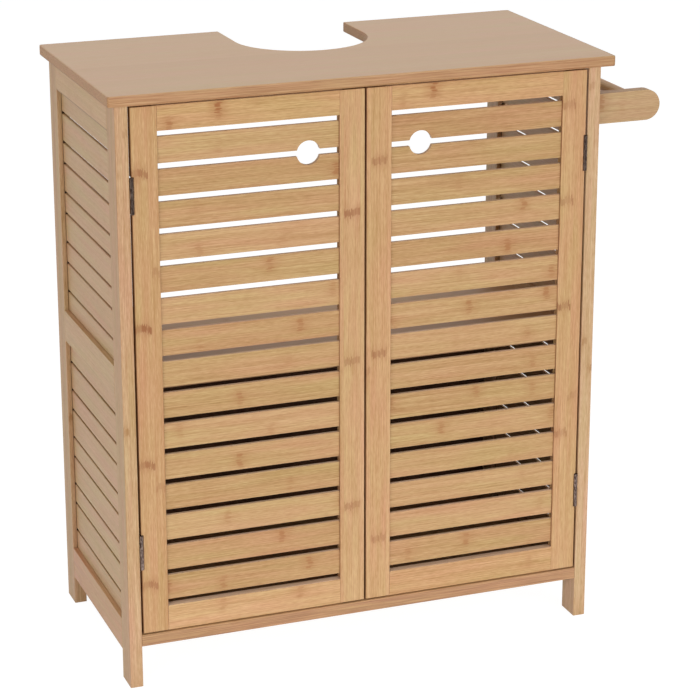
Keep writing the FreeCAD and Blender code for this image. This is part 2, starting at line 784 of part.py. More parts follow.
def make_catch():
    # A double magnetic catch under the top board, one magnet for each door.
    housing = make_board(
        "catch_housing",
        (f"{centre} - catch_width / 2", catch_front, f"{carcass_top} - catch_height"),
        ("catch_width", "catch_depth", "catch_height"),
        ease="z",
    )
    magnet_low = "(catch_height - magnet_drop - magnet_height)"
    first_x = "((catch_width - magnet_spacing - magnet_width) / 2)"
    sketch = new_sketch(housing, "XZ_Plane")
    for step in ("0", "magnet_spacing"):
        low_x = f"{first_x} + {step}"
        draw_rectangle(sketch, low_x, magnet_low, f"{low_x} + magnet_width", f"{magnet_low} + magnet_height")
    add_cut(housing, sketch, "magnet_depth")
    magnets = make_board(
        "catch_magnets",
        (
            f"{centre} - catch_width / 2 + {first_x}",
            catch_front,
            f"{carcass_top} - magnet_drop - magnet_height",
        ),
        ("magnet_width", "magnet_depth", "magnet_height"),
    )
    repeat(magnets, [magnets.Tip], "X", "2", "magnet_spacing")


make_top_board()
for side in sides:
    for row in ("front", "rear"):
        make_post(side, row)
    make_side_rail(side, "top", f"{carcass_top} - top_rail_height", "top_rail_height")
    shelf_dowel_rise = f"shelf_rise + {shelf_dowel_z}"
    floor_dowel_rise = f"floor_height + {floor_dowel_z} - foot_clear"
    make_side_rail(side, "middle", middle_low, "side_rail_height", shelf_dowel_rise)
    make_side_rail(side, "bottom", "foot_clear", "side_rail_height", floor_dowel_rise)
    make_side_slats(side, "lower", "(foot_clear + side_rail_height)")
    make_side_slats(side, "upper", f"({middle_low} + side_rail_height)")
    make_door(side)
    make_hinges(side)
make_inner_boards()
make_dowels()
make_towel_rail()
make_hinge_pins()
make_catch()
doc.recompute()

# Every object has to be whole before anything is written.
for item in doc.Objects:
    if "Invalid" in item.State or "Error" in item.State:
        raise RuntimeError(f"{item.Label}: {item.State}")
nodes = [item for item in doc.Objects if item.TypeId == "PartDesign::Body"]
for node in nodes:
    if node.Shape.isNull() or not node.Shape.isValid():
        raise RuntimeError(node.Label + ": not a valid shape")

os.makedirs("parts", exist_ok=True)
for node in nodes:
    node.Shape.exportStep(os.path.join("parts", node.Label + ".step"))
print(f"{len(nodes)} nodes, {sum(len(node.Shape.Solids) for node in nodes)} solids")
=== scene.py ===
# Under-sink cabinet in laminated bamboo: finishes, screws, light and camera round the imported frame.
import math

import bpy
import numpy as np
from mathutils import Matrix, Vector


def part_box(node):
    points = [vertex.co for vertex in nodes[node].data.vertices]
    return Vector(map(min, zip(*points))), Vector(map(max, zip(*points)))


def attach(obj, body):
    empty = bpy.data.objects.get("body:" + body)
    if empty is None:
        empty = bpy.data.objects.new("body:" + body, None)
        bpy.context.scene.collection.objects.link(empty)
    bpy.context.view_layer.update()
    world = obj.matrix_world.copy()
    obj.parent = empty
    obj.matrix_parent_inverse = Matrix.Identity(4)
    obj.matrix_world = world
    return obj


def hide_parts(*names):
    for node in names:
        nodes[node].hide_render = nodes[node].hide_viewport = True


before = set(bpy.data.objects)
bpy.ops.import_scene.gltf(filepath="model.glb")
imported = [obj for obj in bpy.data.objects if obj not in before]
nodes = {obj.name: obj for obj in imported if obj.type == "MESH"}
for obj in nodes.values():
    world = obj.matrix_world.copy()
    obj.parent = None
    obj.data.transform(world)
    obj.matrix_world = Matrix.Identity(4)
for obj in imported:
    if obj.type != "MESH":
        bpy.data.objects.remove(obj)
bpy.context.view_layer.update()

mmPerMetre = 1000.0
print("frame loaded:", len(nodes), "nodes")


def linearColour(hexText):
    # sRGB hex to linear light, channel by channel, with a full alpha
    channels = [int(hexText[i:i + 2], 16) / 255 for i in (0, 2, 4)]
    return [c / 12.92 if c <= 0.04045 else ((c + 0.055) / 1.055) ** 2.4 for c in channels] + [1.0]


def addNode(tree, kind, inputs=None, **settings):
    # one node: settings by attribute name; an input takes a value, a socket or another node's first output
    node = tree.nodes.new(kind)
    for name, value in settings.items():
        setattr(node, name, value)
    for socket, value in (inputs or {}).items():
        if isinstance(value, bpy.types.Node):
            tree.links.new(value.outputs[0], node.inputs[socket])
        elif isinstance(value, bpy.types.NodeSocket):
            tree.links.new(value, node.inputs[socket])
        else:
            node.inputs[socket].default_value = value
    return node


def mathNode(tree, operation, *values):
    return addNode(tree, "ShaderNodeMath", dict(enumerate(values)), operation=operation)


def vectorNode(tree, operation, *values):
    return addNode(tree, "ShaderNodeVectorMath", dict(enumerate(values)), operation=operation)


def scaledBy(tree, vector, factor):
    return addNode(tree, "ShaderNodeVectorMath", {0: vector, 3: factor}, operation="SCALE")


def mapRange(tree, value, start, end, low=0.0, high=1.0, smooth=False):
    # what goes from start to end becomes low to high, and stays there beyond both
    return addNode(tree, "ShaderNodeMapRange",
                   {"Value": value, "From Min": start, "From Max": end, "To Min": low, "To Max": high},
                   interpolation_type="SMOOTHSTEP" if smooth else "LINEAR")


def mixColour(tree, share, first, second, way="MIX"):
    # the colour that two colours give; a text is a plain colour in hex
    first, second = [linearColour(c) if isinstance(c, str) else c for c in (first, second)]
    mix = addNode(tree, "ShaderNodeMix", {0: share, 6: first, 7: second}, data_type="RGBA", blend_type=way)
    return mix.outputs[2]


def newMaterial(name):
    material = bpy.data.materials.new(name)
    material.use_nodes = True
    material.node_tree.nodes.clear()
    return material, material.node_tree


def dress(material, *names):
    # the finish goes into the slots of the CAD nodes, which keep their meshes
    for name in names:
        for slot in nodes[name].material_slots:
            slot.material = material


# Bamboo strips glued side by side and lacquered. Long fibres and short flecks give fine streaks, the tone
# and the hue drift slowly from straw to pink, and the culm's joints show as reddish combs that run out along
# the fibres. grain names the axes along the fibre, across the strips and through the board; sizes are in mm,
# in that order.
def laminatedBamboo(look):
    material, tree = newMaterial(look["name"])
    place = addNode(tree, "ShaderNodeTexCoord")
    inMm = scaledBy(tree, place.outputs["Object"], mmPerMetre)
    axes = addNode(tree, "ShaderNodeSeparateXYZ", {0: inMm})
    along, across, depth = [axes.outputs[letter] for letter in look["grain"]]
    grained = addNode(tree, "ShaderNodeCombineXYZ", {0: along, 1: across, 2: depth})

    # which strip: boards end to end, strips side by side, layers through the thickness
    start = vectorNode(tree, "SUBTRACT", grained, look["stripFrom"])
    count = vectorNode(tree, "DIVIDE", start, look["stripSize"])
    strip = vectorNode(tree, "ADD", vectorNode(tree, "FLOOR", count), [look["seed"]] * 3)
    stripDice = addNode(tree, "ShaderNodeTexWhiteNoise", {"Vector": strip}, noise_dimensions="3D")
    dice = addNode(tree, "ShaderNodeSeparateColor", {0: stripDice.outputs["Color"]})
    fresh = scaledBy(tree, stripDice.outputs["Color"], look["freshStart"])

    # noise drawn out along the grain, started afresh in each strip: length and width of a feature, and detail
    field = {"strip": dice.outputs[0]}
    for kind, (lengthMm, widthMm, detail) in look["features"].items():
        size = (1 / lengthMm, 1 / widthMm, 1 / widthMm)
        spot = vectorNode(tree, "MULTIPLY_ADD", grained, size, fresh)
        field[kind] = addNode(tree, "ShaderNodeTexNoise",
                              {"Vector": spot, "Scale": 1.0, "Detail": detail,
                               "Roughness": look["fineShare"]})

    # tone from dark to light, then a cast from straw to pink
    tone = 0.5 - 0.5 * sum(look["contrast"].values())
    for kind, share in look["contrast"].items():
        tone = mathNode(tree, "MULTIPLY_ADD", field[kind], share, tone)
    ramp = addNode(tree, "ShaderNodeValToRGB", {0: tone})
    for stop, (at, shade) in zip((0, 1), ((0.0, "dark"), (1.0, "light"))):
        ramp.color_ramp.elements[stop].position = at
        ramp.color_ramp.elements[stop].color = linearColour(look[shade])
    ramp.color_ramp.elements.new(0.5).color = linearColour(look["mid"])
    drift, own = look["castShare"]
    cast = mathNode(tree, "MULTIPLY_ADD", dice.outputs[1], own, 0.5 - 0.5 * (drift + own))
    cast = mathNode(tree, "MULTIPLY_ADD", field["cast"], drift, cast)
    castColour = mixColour(tree, cast, look["straw"], look["pink"])
    wood = mixColour(tree, 1.0, ramp, castColour, "MULTIPLY")

    # joints of the culm: where each is along the grain, how far across, and how strong
    joint = look["joint"]
    marks = []
    for height, middle, half, strength in joint["spots"]:
        up = mathNode(tree, "SUBTRACT", along, height)
        out = mathNode(tree, "SUBTRACT", across, middle)
        marks.append((up, out, half, strength))
    if "pitch" in joint:
        # one in each pitch of a strip, moved within its wander, a share of the pitch, and off the middle
        phase = mathNode(tree, "MULTIPLY_ADD", along, 1 / joint["pitch"], dice.outputs[2])
        turn = mathNode(tree, "FLOOR", phase)
        turnStep = addNode(tree, "ShaderNodeCombineXYZ", {0: turn, 1: 0.0, 2: 0.0})
        turnSeed = vectorNode(tree, "ADD", strip, turnStep)
        turnDice = addNode(tree, "ShaderNodeTexWhiteNoise", {"Vector": turnSeed}, noise_dimensions="3D")
        luck = addNode(tree, "ShaderNodeSeparateColor", {0: turnDice.outputs["Color"]})
        part = mathNode(tree, "FRACT", phase)
        moved = mathNode(tree, "MULTIPLY_ADD", luck.outputs[0], joint["wander"], part)
        centred = -0.5 * (1 + joint["wander"]) * joint["pitch"]
        up = mathNode(tree, "MULTIPLY_ADD", moved, joint["pitch"], centred)
        inStrip = addNode(tree, "ShaderNodeSeparateXYZ", {0: vectorNode(tree, "FRACTION", count)})
        width = look["stripSize"][1]
        offset = mathNode(tree, "MULTIPLY_ADD", luck.outputs[1], joint["stray"],
                          -0.5 * (joint["stray"] + width))
        out = mathNode(tree, "MULTIPLY_ADD", inStrip.outputs[1], width, offset)
        strength = mapRange(tree, luck.outputs[2], joint["luck"], 1.0, high=joint["strength"])
        marks.append((up, out, joint["half"], strength))

    # each joint is a comb: dashes along the fibres, out of line with each other, in a paler haze
    fine = 1 / joint["dashWide"]
    dash = vectorNode(tree, "FLOOR", vectorNode(tree, "MULTIPLY", grained, (0.0, fine, fine)))
    dashDice = addNode(tree, "ShaderNodeTexWhiteNoise", {"Vector": dash}, noise_dimensions="3D")
    ragged = mathNode(tree, "MULTIPLY_ADD", dashDice.outputs["Value"], joint["ragged"],
                      -0.5 * (joint["ragged"] + joint["fray"]))
    ragged = mathNode(tree, "MULTIPLY_ADD", field["fleck"], joint["fray"], ragged)
    dashLuck = addNode(tree, "ShaderNodeSeparateColor", {0: dashDice.outputs["Color"]})
    dashDepth = mapRange(tree, dashLuck.outputs[1], *joint["paleBand"], low=joint["pale"])
    tall, soft, softSide = [joint[key] for key in ("tall", "soft", "softSide")]
    jointed = 0.0
    for up, out, half, strength in marks:
        far = mathNode(tree, "ABSOLUTE", mathNode(tree, "ADD", up, ragged))
        comb = mapRange(tree, far, tall + soft, tall - soft, high=dashDepth, smooth=True)
        farPlain = mathNode(tree, "ABSOLUTE", up)
        haze = mapRange(tree, farPlain, joint["hazeTall"], 0.0, high=joint["haze"], smooth=True)
        both = mathNode(tree, "MAXIMUM", comb, haze)
        farOut = mathNode(tree, "ABSOLUTE", out)
        inside = mapRange(tree, farOut, half + softSide, half - softSide, high=strength, smooth=True)
        jointed = mathNode(tree, "MAXIMUM", mathNode(tree, "MULTIPLY", both, inside), jointed)
    wood = mixColour(tree, jointed, wood, joint["colour"])

    # glue line between strips
    seamAt = addNode(tree, "ShaderNodeSeparateXYZ", {0: count})
    seamNear = mathNode(tree, "PINGPONG", seamAt.outputs[1], 0.5)
    seamFar = mathNode(tree, "MULTIPLY", seamNear, look["stripSize"][1])
    seam = mapRange(tree, seamFar, look["seamWide"], 0.0, high=look["seamDepth"])
    wood = mixColour(tree, seam, wood, look["dark"])

    # painted shade: a dark line at one distance from the middle, at both ends, where a piece enters or meets
    # the next one
    if "groove" in look:
        groove = look["groove"]
        offMiddle = mathNode(tree, "SUBTRACT", axes.outputs[groove["axis"]], groove["middle"])
        reach = mathNode(tree, "ABSOLUTE", offMiddle)
        shadow = mapRange(tree, reach, groove["reach"] - groove["soft"], groove["reach"],
                          high=groove["depth"])
        wood = mixColour(tree, shadow, wood, groove["colour"])

    # lacquer over the fibres: the grain telegraphs through a little
    raised = mathNode(tree, "MULTIPLY_ADD", seam, -look["seamSink"], field["fibre"])
    bump = addNode(tree, "ShaderNodeBump",
                   {"Height": raised, "Strength": look["relief"], "Distance": look["reliefDepth"]})
    gloss = mapRange(tree, field["fibre"], *look["fibreBand"], *look["rough"])

    # sawn edges are duller than the broad faces and tinted here and there; the stiles' darker red tint is
    # painted shade for the gaps beside them, the door slats' and rails' paler tint is painted light on their
    # edges
    if look["edge"]:
        facing = addNode(tree, "ShaderNodeSeparateXYZ", {0: place.outputs["Normal"]})
        flat = mathNode(tree, "ABSOLUTE", facing.outputs[look["grain"][2]])
        edge = mapRange(tree, flat, *look["edgeTurn"])
        edgeTintAndPaintedLight = mapRange(tree, field["fibre"], *look["fibreBand"], edge, 0.0)
        wood = mixColour(tree, edgeTintAndPaintedLight, wood, look["edge"]["tint"], look["edge"]["blend"])
        gloss = addNode(tree, "ShaderNodeMix", {0: edge, 2: gloss, 3: look["edge"]["rough"]})
    surface = addNode(tree, "ShaderNodeBsdfPrincipled",
                      {"Base Color": wood, "Roughness": gloss, "IOR": look["ior"], "Normal": bump})
    addNode(tree, "ShaderNodeOutputMaterial", {"Surface": surface})
    return material


def variant(base, name, seed, joint=None, **changes):
    # a look like another one, with its own name, seed and whatever else differs
    return dict(base, name=name, seed=seed, joint=dict(base["joint"], **(joint or {})), **changes)


# Side-pressed bamboo, sanded and matt lacquered: two strips to a stile, combs of joint marks on the wider
# one. Real fibres are about 0.3 mm wide; they are drawn wider so that they show.
stileLook = {
    "grain": "ZXY", "stripSize": (5000.0, 20.0, 40.0), "freshStart": 60.0, "fineShare": 0.6, "ior": 1.5,
    "features": {"fibre": (70.0, 0.9, 2.0), "fleck": (9.0, 0.9, 1.0), "streak": (240.0, 4.0, 1.0),
                 "cast": (120.0, 16.0, 1.0)},
    "contrast": {"strip": 0.15, "fibre": 1.15, "fleck": 0.8, "streak": 0.4},
    "dark": "AD7E4C", "mid": "C4996D", "light": "D7B489", "straw": "F8FFEE", "pink": "FFF2F4",
    "castShare": (1.9, 0.3), "seamDepth": 0.1, "seamWide": 0.7, "seamSink": 0.6,
    "relief": 0.25, "reliefDepth": 0.0003, "rough": (0.6, 0.75), "fibreBand": (0.3, 0.7),
    # the stiles' edge tint darkens and reddens their edges: painted shade for the gaps beside the doors
    "edge": {"tint": "A4745A", "blend": "MULTIPLY", "rough": 0.85}, "edgeTurn": (0.8, 0.4),
    "joint": {"colour": "8E5228", "dashWide": 1.3, "ragged": 5.0, "fray": 4.0, "tall": 4.2, "soft": 1.2,
              "pale": 0.65, "paleBand": (0.3, 0.6), "haze": 0.32, "hazeTall": 15.0, "softSide": 0.8,
              "wander": 0.5, "spots": []},
}
# each stile: where its strips start, its middle tone, and joints as height, middle, half width, strength
stiles = {
    "left_door_hinge_stile": {
        "from": -308.5, "mid": "BF9468",
        "spots": [(609, -298, 9.5, 0.65), (432, -298, 9.5, 0.85), (271, -298, 9.5, 0.7),
                  (125, -298, 9.5, 0.6), (496, -282, 5, 0.35), (243, -283, 6, 0.35)]},
    "left_door_latch_stile": {
        "from": -62.0, "mid": "C59C71",
        "spots": [(541, -52, 10, 0.7), (365, -52, 10, 0.5), (187, -52, 10, 0.5)]},
    "right_door_latch_stile": {
        "from": -29.5, "mid": "C79C71",
        "spots": [(599, -19, 10, 0.6), (371, -19, 10, 0.65), (142, -19, 10, 0.5), (350, -32, 3, 0.35)]},
    "right_door_hinge_stile": {
        "from": 203.5, "mid": "C4996D",
        "spots": [(644, 214, 9, 0.5), (530, 214, 9, 0.5), (402, 214, 9, 0.7), (243, 214, 9, 0.5),
                  (288, 228, 6, 0.35)]},
}
for number, (name, own) in enumerate(stiles.items(), start=1):
    look = variant(stileLook, f"sidePressedBambooStile{number}", float(number), {"spots": own["spots"]},
                   stripFrom=(0.0, own["from"], 0.0), mid=own["mid"])
    dress(laminatedBamboo(look), name)

# Posts of the same bamboo in narrower strips, a little paler.
postLook = variant(stileLook, "sidePressedBambooPost", 11.0,
                   {"colour": "9A6A34", "pitch": 225.0, "half": 3.4, "stray": 0.5, "luck": 0.2,
                    "strength": 0.75},
                   stripFrom=(0.0, -324.5, -135.0), stripSize=(5000.0, 7.51, 8.3),
                   dark="B08A5A", mid="C8A57F", light="D9BE9A", edge=None, rough=(0.42, 0.58),
                   contrast={"strip": 0.3, "fibre": 1.8, "fleck": 1.0, "streak": 0.4})
dress(laminatedBamboo(postLook), "front_right_post", "rear_right_post")
# the left posts get a darker copy of the post look: painted shade against the light from the front left
shadedLeftPostLook = variant(postLook, "sidePressedBambooLeftPostShaded", 11.0, dark="AA8150", mid="C09A73",
                       light="D3B48F")
dress(laminatedBamboo(shadedLeftPostLook), "front_left_post", "rear_left_post")

# Flat-pressed bamboo, sanded and matt lacquered: one broad strip to a slat, joints as soft smudges.
doorLook = variant(stileLook, "flatPressedBambooDoor", 21.0,
                   {"colour": "9E6434", "pitch": 105.0, "half": 8.5, "stray": 18.0, "luck": 0.0,
                    "strength": 0.75, "tall": 3.8, "soft": 2.0, "softSide": 3.0, "pale": 0.55,
                    "ragged": 4.0, "haze": 0.4, "hazeTall": 18.0,
                    "spots": [(-207.0, 674.0, 10.0, 1.0), (46.0, 675.0, 10.0, 1.0)]},
                   grain="XZY", stripFrom=(-35.5, 63.1, -180.0), stripSize=(1000.0, 36.78, 80.0),
                   seamDepth=0.0, dark="A47A48", mid="BD9668", light="CFAE81",
                   # the edges are mixed towards a pale colour: painted light on the slats' and rails' edges
                   # seen in the gaps
                   edge={"tint": "F4D6BC", "blend": "MIX", "rough": 0.8},
                   contrast={"strip": 0.25, "fibre": 1.35, "fleck": 0.8, "streak": 0.5})
dress(laminatedBamboo(doorLook), "left_door_plain_slats", "left_door_pull_slats", "right_door_plain_slats",
      "right_door_pull_slats")
# rails are cut from paler strips than the slats
doorRailLook = variant(doorLook, "flatPressedBambooDoorRail", 25.0, dark="AB804C", mid="C69C6E",
                       light="D8B488")
dress(laminatedBamboo(doorRailLook), "left_door_top_rail", "left_door_bottom_rail", "right_door_top_rail",
      "right_door_bottom_rail")

# The same boards turned front to back for the sides, quieter. Painted shade darkens the top rails at their
# upper and lower edges, and the slats where they enter the posts.
sideLook = variant(doorLook, "flatPressedBambooSide", 31.0, {"strength": 0.2, "spots": []},
                   grain="YZX", stripFrom=(-1000.0, 12.0, -400.0), stripSize=(5000.0, 61.0, 300.0),
                   dark="B1885B", mid="C5A079", light="D3B48F", rough=(0.42, 0.58),
                   edge={"tint": "F8F0EA", "blend": "MULTIPLY", "rough": 0.7},
                   contrast={"strip": 0.1, "fibre": 1.2, "fleck": 0.7, "streak": 0.5})
dress(laminatedBamboo(sideLook), "left_middle_rail", "right_middle_rail")
headRailLook = variant(sideLook, "flatPressedBambooHeadRail", 32.0, dark="B68C5D", mid="CAA47C",
                       light="D8B892",
                       groove={"axis": "Z", "middle": 670.0, "reach": 18.0, "soft": 2.0, "depth": 0.9,
                               "colour": "6A3A1E"})
dress(laminatedBamboo(headRailLook), "left_top_rail", "right_top_rail")
footRailLook = variant(sideLook, "flatPressedBambooFootRail", 34.0, dark="B38457", mid="C79B75",
                       light="D5B08B")
dress(laminatedBamboo(footRailLook), "left_bottom_rail", "right_bottom_rail")
sideSlatLook = variant(sideLook, "flatPressedBambooSideSlat", 33.0,
                       groove={"axis": "Y", "middle": 7.5, "reach": 109.0, "soft": 1.2, "depth": 0.9,
                               "colour": "4E2410"})
dress(laminatedBamboo(sideSlatLook), *[f"{side}_{row}_{kind}_slats" for side in ("left", "right")
                                       for row in ("lower", "upper") for kind in ("narrow", "wide")])

# Flat-pressed bamboo board under a satin lacquer: broad quiet strips, faint joints.
topLook = variant(doorLook, "flatPressedBambooTop", 41.0, {"pitch": 260.0, "strength": 0.12, "spots": []},
                  grain="XYZ", stripFrom=(-1000.0, -150.0, 0.0), stripSize=(5000.0, 25.0, 6.0),
                  dark="B2865D", mid="C49A6E", light="D0AF87", relief=0.1, rough=(0.32, 0.4),
                  castShare=(1.2, 0.2), edge={"tint": "C8AC98", "blend": "MULTIPLY", "rough": 0.52},
                  contrast={"strip": 0.1, "fibre": 0.4, "fleck": 0.3, "streak": 0.2})
dress(laminatedBamboo(topLook), "top_board")
innerLook = variant(topLook, "flatPressedBambooShelf", 51.0, {"strength": 0.4}, rough=(0.45, 0.55),
                    edge={"tint": "C4B2BA", "blend": "MULTIPLY", "rough": 0.7})
dress(laminatedBamboo(innerLook), "bottom_board", "shelf")

# Towel rail: arms sawn along the grain, a turned bar. The arms' one dark mark, at their root by the post, is
# painted shade.
armLook = variant(doorLook, "flatPressedBambooArm", 61.0,
                  {"strength": 0.2, "spots": [(259.0, 640.0, 11.0, 0.6)]},
                  stripFrom=(0.0, 610.0, -140.0), stripSize=(5000.0, 50.0, 100.0), edge=topLook["edge"],
                  dark="A07850", mid="B6916A", light="C7A682", rough=(0.42, 0.58))
dress(laminatedBamboo(armLook), "front_towel_arm", "rear_towel_arm")
barLook = variant(armLook, "turnedBambooBar", 71.0, {"spots": []}, grain="YZX", stripFrom=(0.0, 626.0, 310.0),
                  stripSize=(5000.0, 7.0, 7.0), edge=None)
dress(laminatedBamboo(barLook), "towel_bar")

# Beech dowels, milled: pale and close grained, hidden in their holes.
dowelLook = variant(armLook, "milledBeechDowel", 81.0, {"strength": 0.05, "spots": []},
                    stripFrom=(0.0, 0.0, 0.0), stripSize=(5000.0, 40.0, 40.0),
                    dark="C79C6E", mid="D6B084", light="E2C39B", edge=None)
dress(laminatedBamboo(dowelLook), "top_dowels", "bottom_board_dowels", "shelf_dowels")
print("bamboo laid on")


# Hardboard, pressed wood fibre with a smooth dark face: brown, flecked with fibres, cloudy, dull.
hardboard = {"dark": "3E2412", "light": "7A5030", "fleckMm": 2.5, "fleckDetail": 3.0, "cloudMm": 45.0,
             "cloudDetail": 2.0, "cloudShare": 1.2, "rough": 0.65, "relief": 0.2, "reliefDepth": 0.0002}
material, tree = newMaterial("pressedBrownHardboard")
place = addNode(tree, "ShaderNodeTexCoord")
flecks = addNode(tree, "ShaderNodeTexNoise",
                 {"Vector": place.outputs["Object"], "Scale": mmPerMetre / hardboard["fleckMm"],
                  "Detail": hardboard["fleckDetail"]})
clouds = addNode(tree, "ShaderNodeTexNoise",
                 {"Vector": place.outputs["Object"], "Scale": mmPerMetre / hardboard["cloudMm"],
                  "Detail": hardboard["cloudDetail"]})
mottle = mathNode(tree, "MULTIPLY_ADD", clouds, hardboard["cloudShare"], -0.5 * hardboard["cloudShare"])
mottle = mathNode(tree, "ADD", flecks, mottle)
fleckColour = mixColour(tree, mottle, hardboard["dark"], hardboard["light"])
bump = addNode(tree, "ShaderNodeBump", {"Height": flecks, "Strength": hardboard["relief"],
                                        "Distance": hardboard["reliefDepth"]})
surface = addNode(tree, "ShaderNodeBsdfPrincipled",
                  {"Base Color": fleckColour, "Roughness": hardboard["rough"], "Normal": bump})
addNode(tree, "ShaderNodeOutputMaterial", {"Surface": surface})
dress(material, "lower_back_panel")

# Steel, rolled, nickel plated and barrelled, tarnished by damp: dull brown with small bright spots, partly
# rubbed wear and partly painted highlight.
hingeSteel = {"bright": "A08C80", "dull": "4C3C36", "dragMm": 1.0, "dragShape": (1.0, 1.0, 0.2),
              "detail": 2.0, "rubbedAndGlintBand": (0.4, 0.7), "rough": (0.3, 0.2), "relief": 0.1,
              "reliefDepth": 0.0001}
steel, tree = newMaterial("tarnishedNickelPlatedSteel")
place = addNode(tree, "ShaderNodeTexCoord")
dragSize = [mmPerMetre / hingeSteel["dragMm"] * k for k in hingeSteel["dragShape"]]
dragAt = vectorNode(tree, "MULTIPLY", place.outputs["Object"], dragSize)
drag = addNode(tree, "ShaderNodeTexNoise", {"Vector": dragAt, "Scale": 1.0, "Detail": hingeSteel["detail"]})
rubbedAndGlint = mapRange(tree, drag, *hingeSteel["rubbedAndGlintBand"])
dragColour = mixColour(tree, rubbedAndGlint, hingeSteel["dull"], hingeSteel["bright"])
dragRough = mapRange(tree, rubbedAndGlint, 0.0, 1.0, *hingeSteel["rough"])
bump = addNode(tree, "ShaderNodeBump", {"Height": drag, "Strength": hingeSteel["relief"],
                                        "Distance": hingeSteel["reliefDepth"]})
surface = addNode(tree, "ShaderNodeBsdfPrincipled",
                  {"Base Color": dragColour, "Metallic": 1.0, "Roughness": dragRough, "Normal": bump})
addNode(tree, "ShaderNodeOutputMaterial", {"Surface": surface})
dress(steel, "hinge_pins", "left_door_strike_plate", "right_door_strike_plate",
      *[f"{side}_{row}_hinge_{leaf}_leaf" for side in ("left", "right") for row in ("lower", "upper")
        for leaf in ("post", "door")])


def grainedSolid(look):
    # one fine noise gives both the mottled colour and the relief
    material, tree = newMaterial(look["name"])
    place = addNode(tree, "ShaderNodeTexCoord")
    grain = addNode(tree, "ShaderNodeTexNoise",
                    {"Vector": place.outputs["Object"], "Scale": mmPerMetre / look["grainMm"],
                     "Detail": look["detail"]})
    colour = mixColour(tree, grain, look["low"], look["high"])
    bump = addNode(tree, "ShaderNodeBump",
                   {"Height": grain, "Strength": look["relief"], "Distance": look["reliefDepth"]})
    surface = addNode(tree, "ShaderNodeBsdfPrincipled",
                      {"Base Color": colour, "Roughness": look["rough"], "IOR": look["ior"], "Normal": bump})
    addNode(tree, "ShaderNodeOutputMaterial", {"Surface": surface})
    return material


# ABS, moulded with a fine spark texture: even brown, soft sheen.
catchPlastic = {"name": "mouldedBrownAbs", "low": "5A3F2C", "high": "6B4C36", "grainMm": 0.6, "detail": 2.0,
                "rough": 0.5, "ior": 1.53, "relief": 0.25, "reliefDepth": 0.0001}
dress(grainedSolid(catchPlastic), "catch_housing")

# Sintered ferrite, ground flat: charcoal with a fine grain.
ferrite = {"name": "groundSinteredFerrite", "low": "2B2A29", "high": "403E3C", "grainMm": 0.5, "detail": 3.0,
           "rough": 0.6, "ior": 1.5, "relief": 0.15, "reliefDepth": 0.0001}
dress(grainedSolid(ferrite), "catch_magnets")
print("board, metal and plastic finishes laid on")


# Eased edges: the frame's triangles are joined, flat faces made whole, and sharp edges rounded by a hair.
easing = {"weld": 0.00001, "flatDegrees": 0.5, "sharpDegrees": 40.0, "segments": 2}


def easeEdges(widthMm, *names):
    for name in names:
        weld = nodes[name].modifiers.new("joinTriangles", "WELD")
        weld.merge_threshold = easing["weld"]
        flat = nodes[name].modifiers.new("wholeFaces", "DECIMATE")
        flat.decimate_type = "DISSOLVE"
        flat.angle_limit = math.radians(easing["flatDegrees"])
        ease = nodes[name].modifiers.new("easedEdges", "BEVEL")
        ease.width = widthMm / mmPerMetre
        ease.segments = easing["segments"]
        ease.limit_method = "ANGLE"
        ease.angle_limit = math.radians(easing["sharpDegrees"])
        ease.use_clamp_overlap = False


edgeMm = {"top": 1.0, "arm": 0.8, "inner": 0.3, "post": 0.4, "sideRail": 0.5, "stile": 0.12}
easeEdges(edgeMm["top"], "top_board")
easeEdges(edgeMm["arm"], "front_towel_arm", "rear_towel_arm")
easeEdges(edgeMm["inner"], "bottom_board", "shelf")
easeEdges(edgeMm["post"], "front_left_post", "rear_left_post", "front_right_post", "rear_right_post")
for side in ("left", "right"):
    easeEdges(edgeMm["sideRail"], *[f"{side}_{row}_rail" for row in ("top", "middle", "bottom")])
    easeEdges(edgeMm["stile"], f"{side}_door_hinge_stile", f"{side}_door_latch_stile")
print("edges eased")


# Wood screws in the hinges' steel. Each is one profile turned about its axis: a domed head, a neck, a shank
# with a thread and a point. The thread is a ridge whose height follows (turns along the axis - angle / full
# turn), and the cross recess sinks the head where either cross arm is near. Shares are of the head's or
# the shank's size.
screwForm = {"headRings": 16, "around": 24, "rimLow": 0.35, "dome": 0.9, "underside": (1.0, 0.97),
             "undersideMm": (0.06, 0.0), "point": 0.14, "neck": 0.08, "armWide": 0.13, "armFade": 1.6,
             "crossWide": 0.26, "crossFade": 2.6, "recess": 0.62}


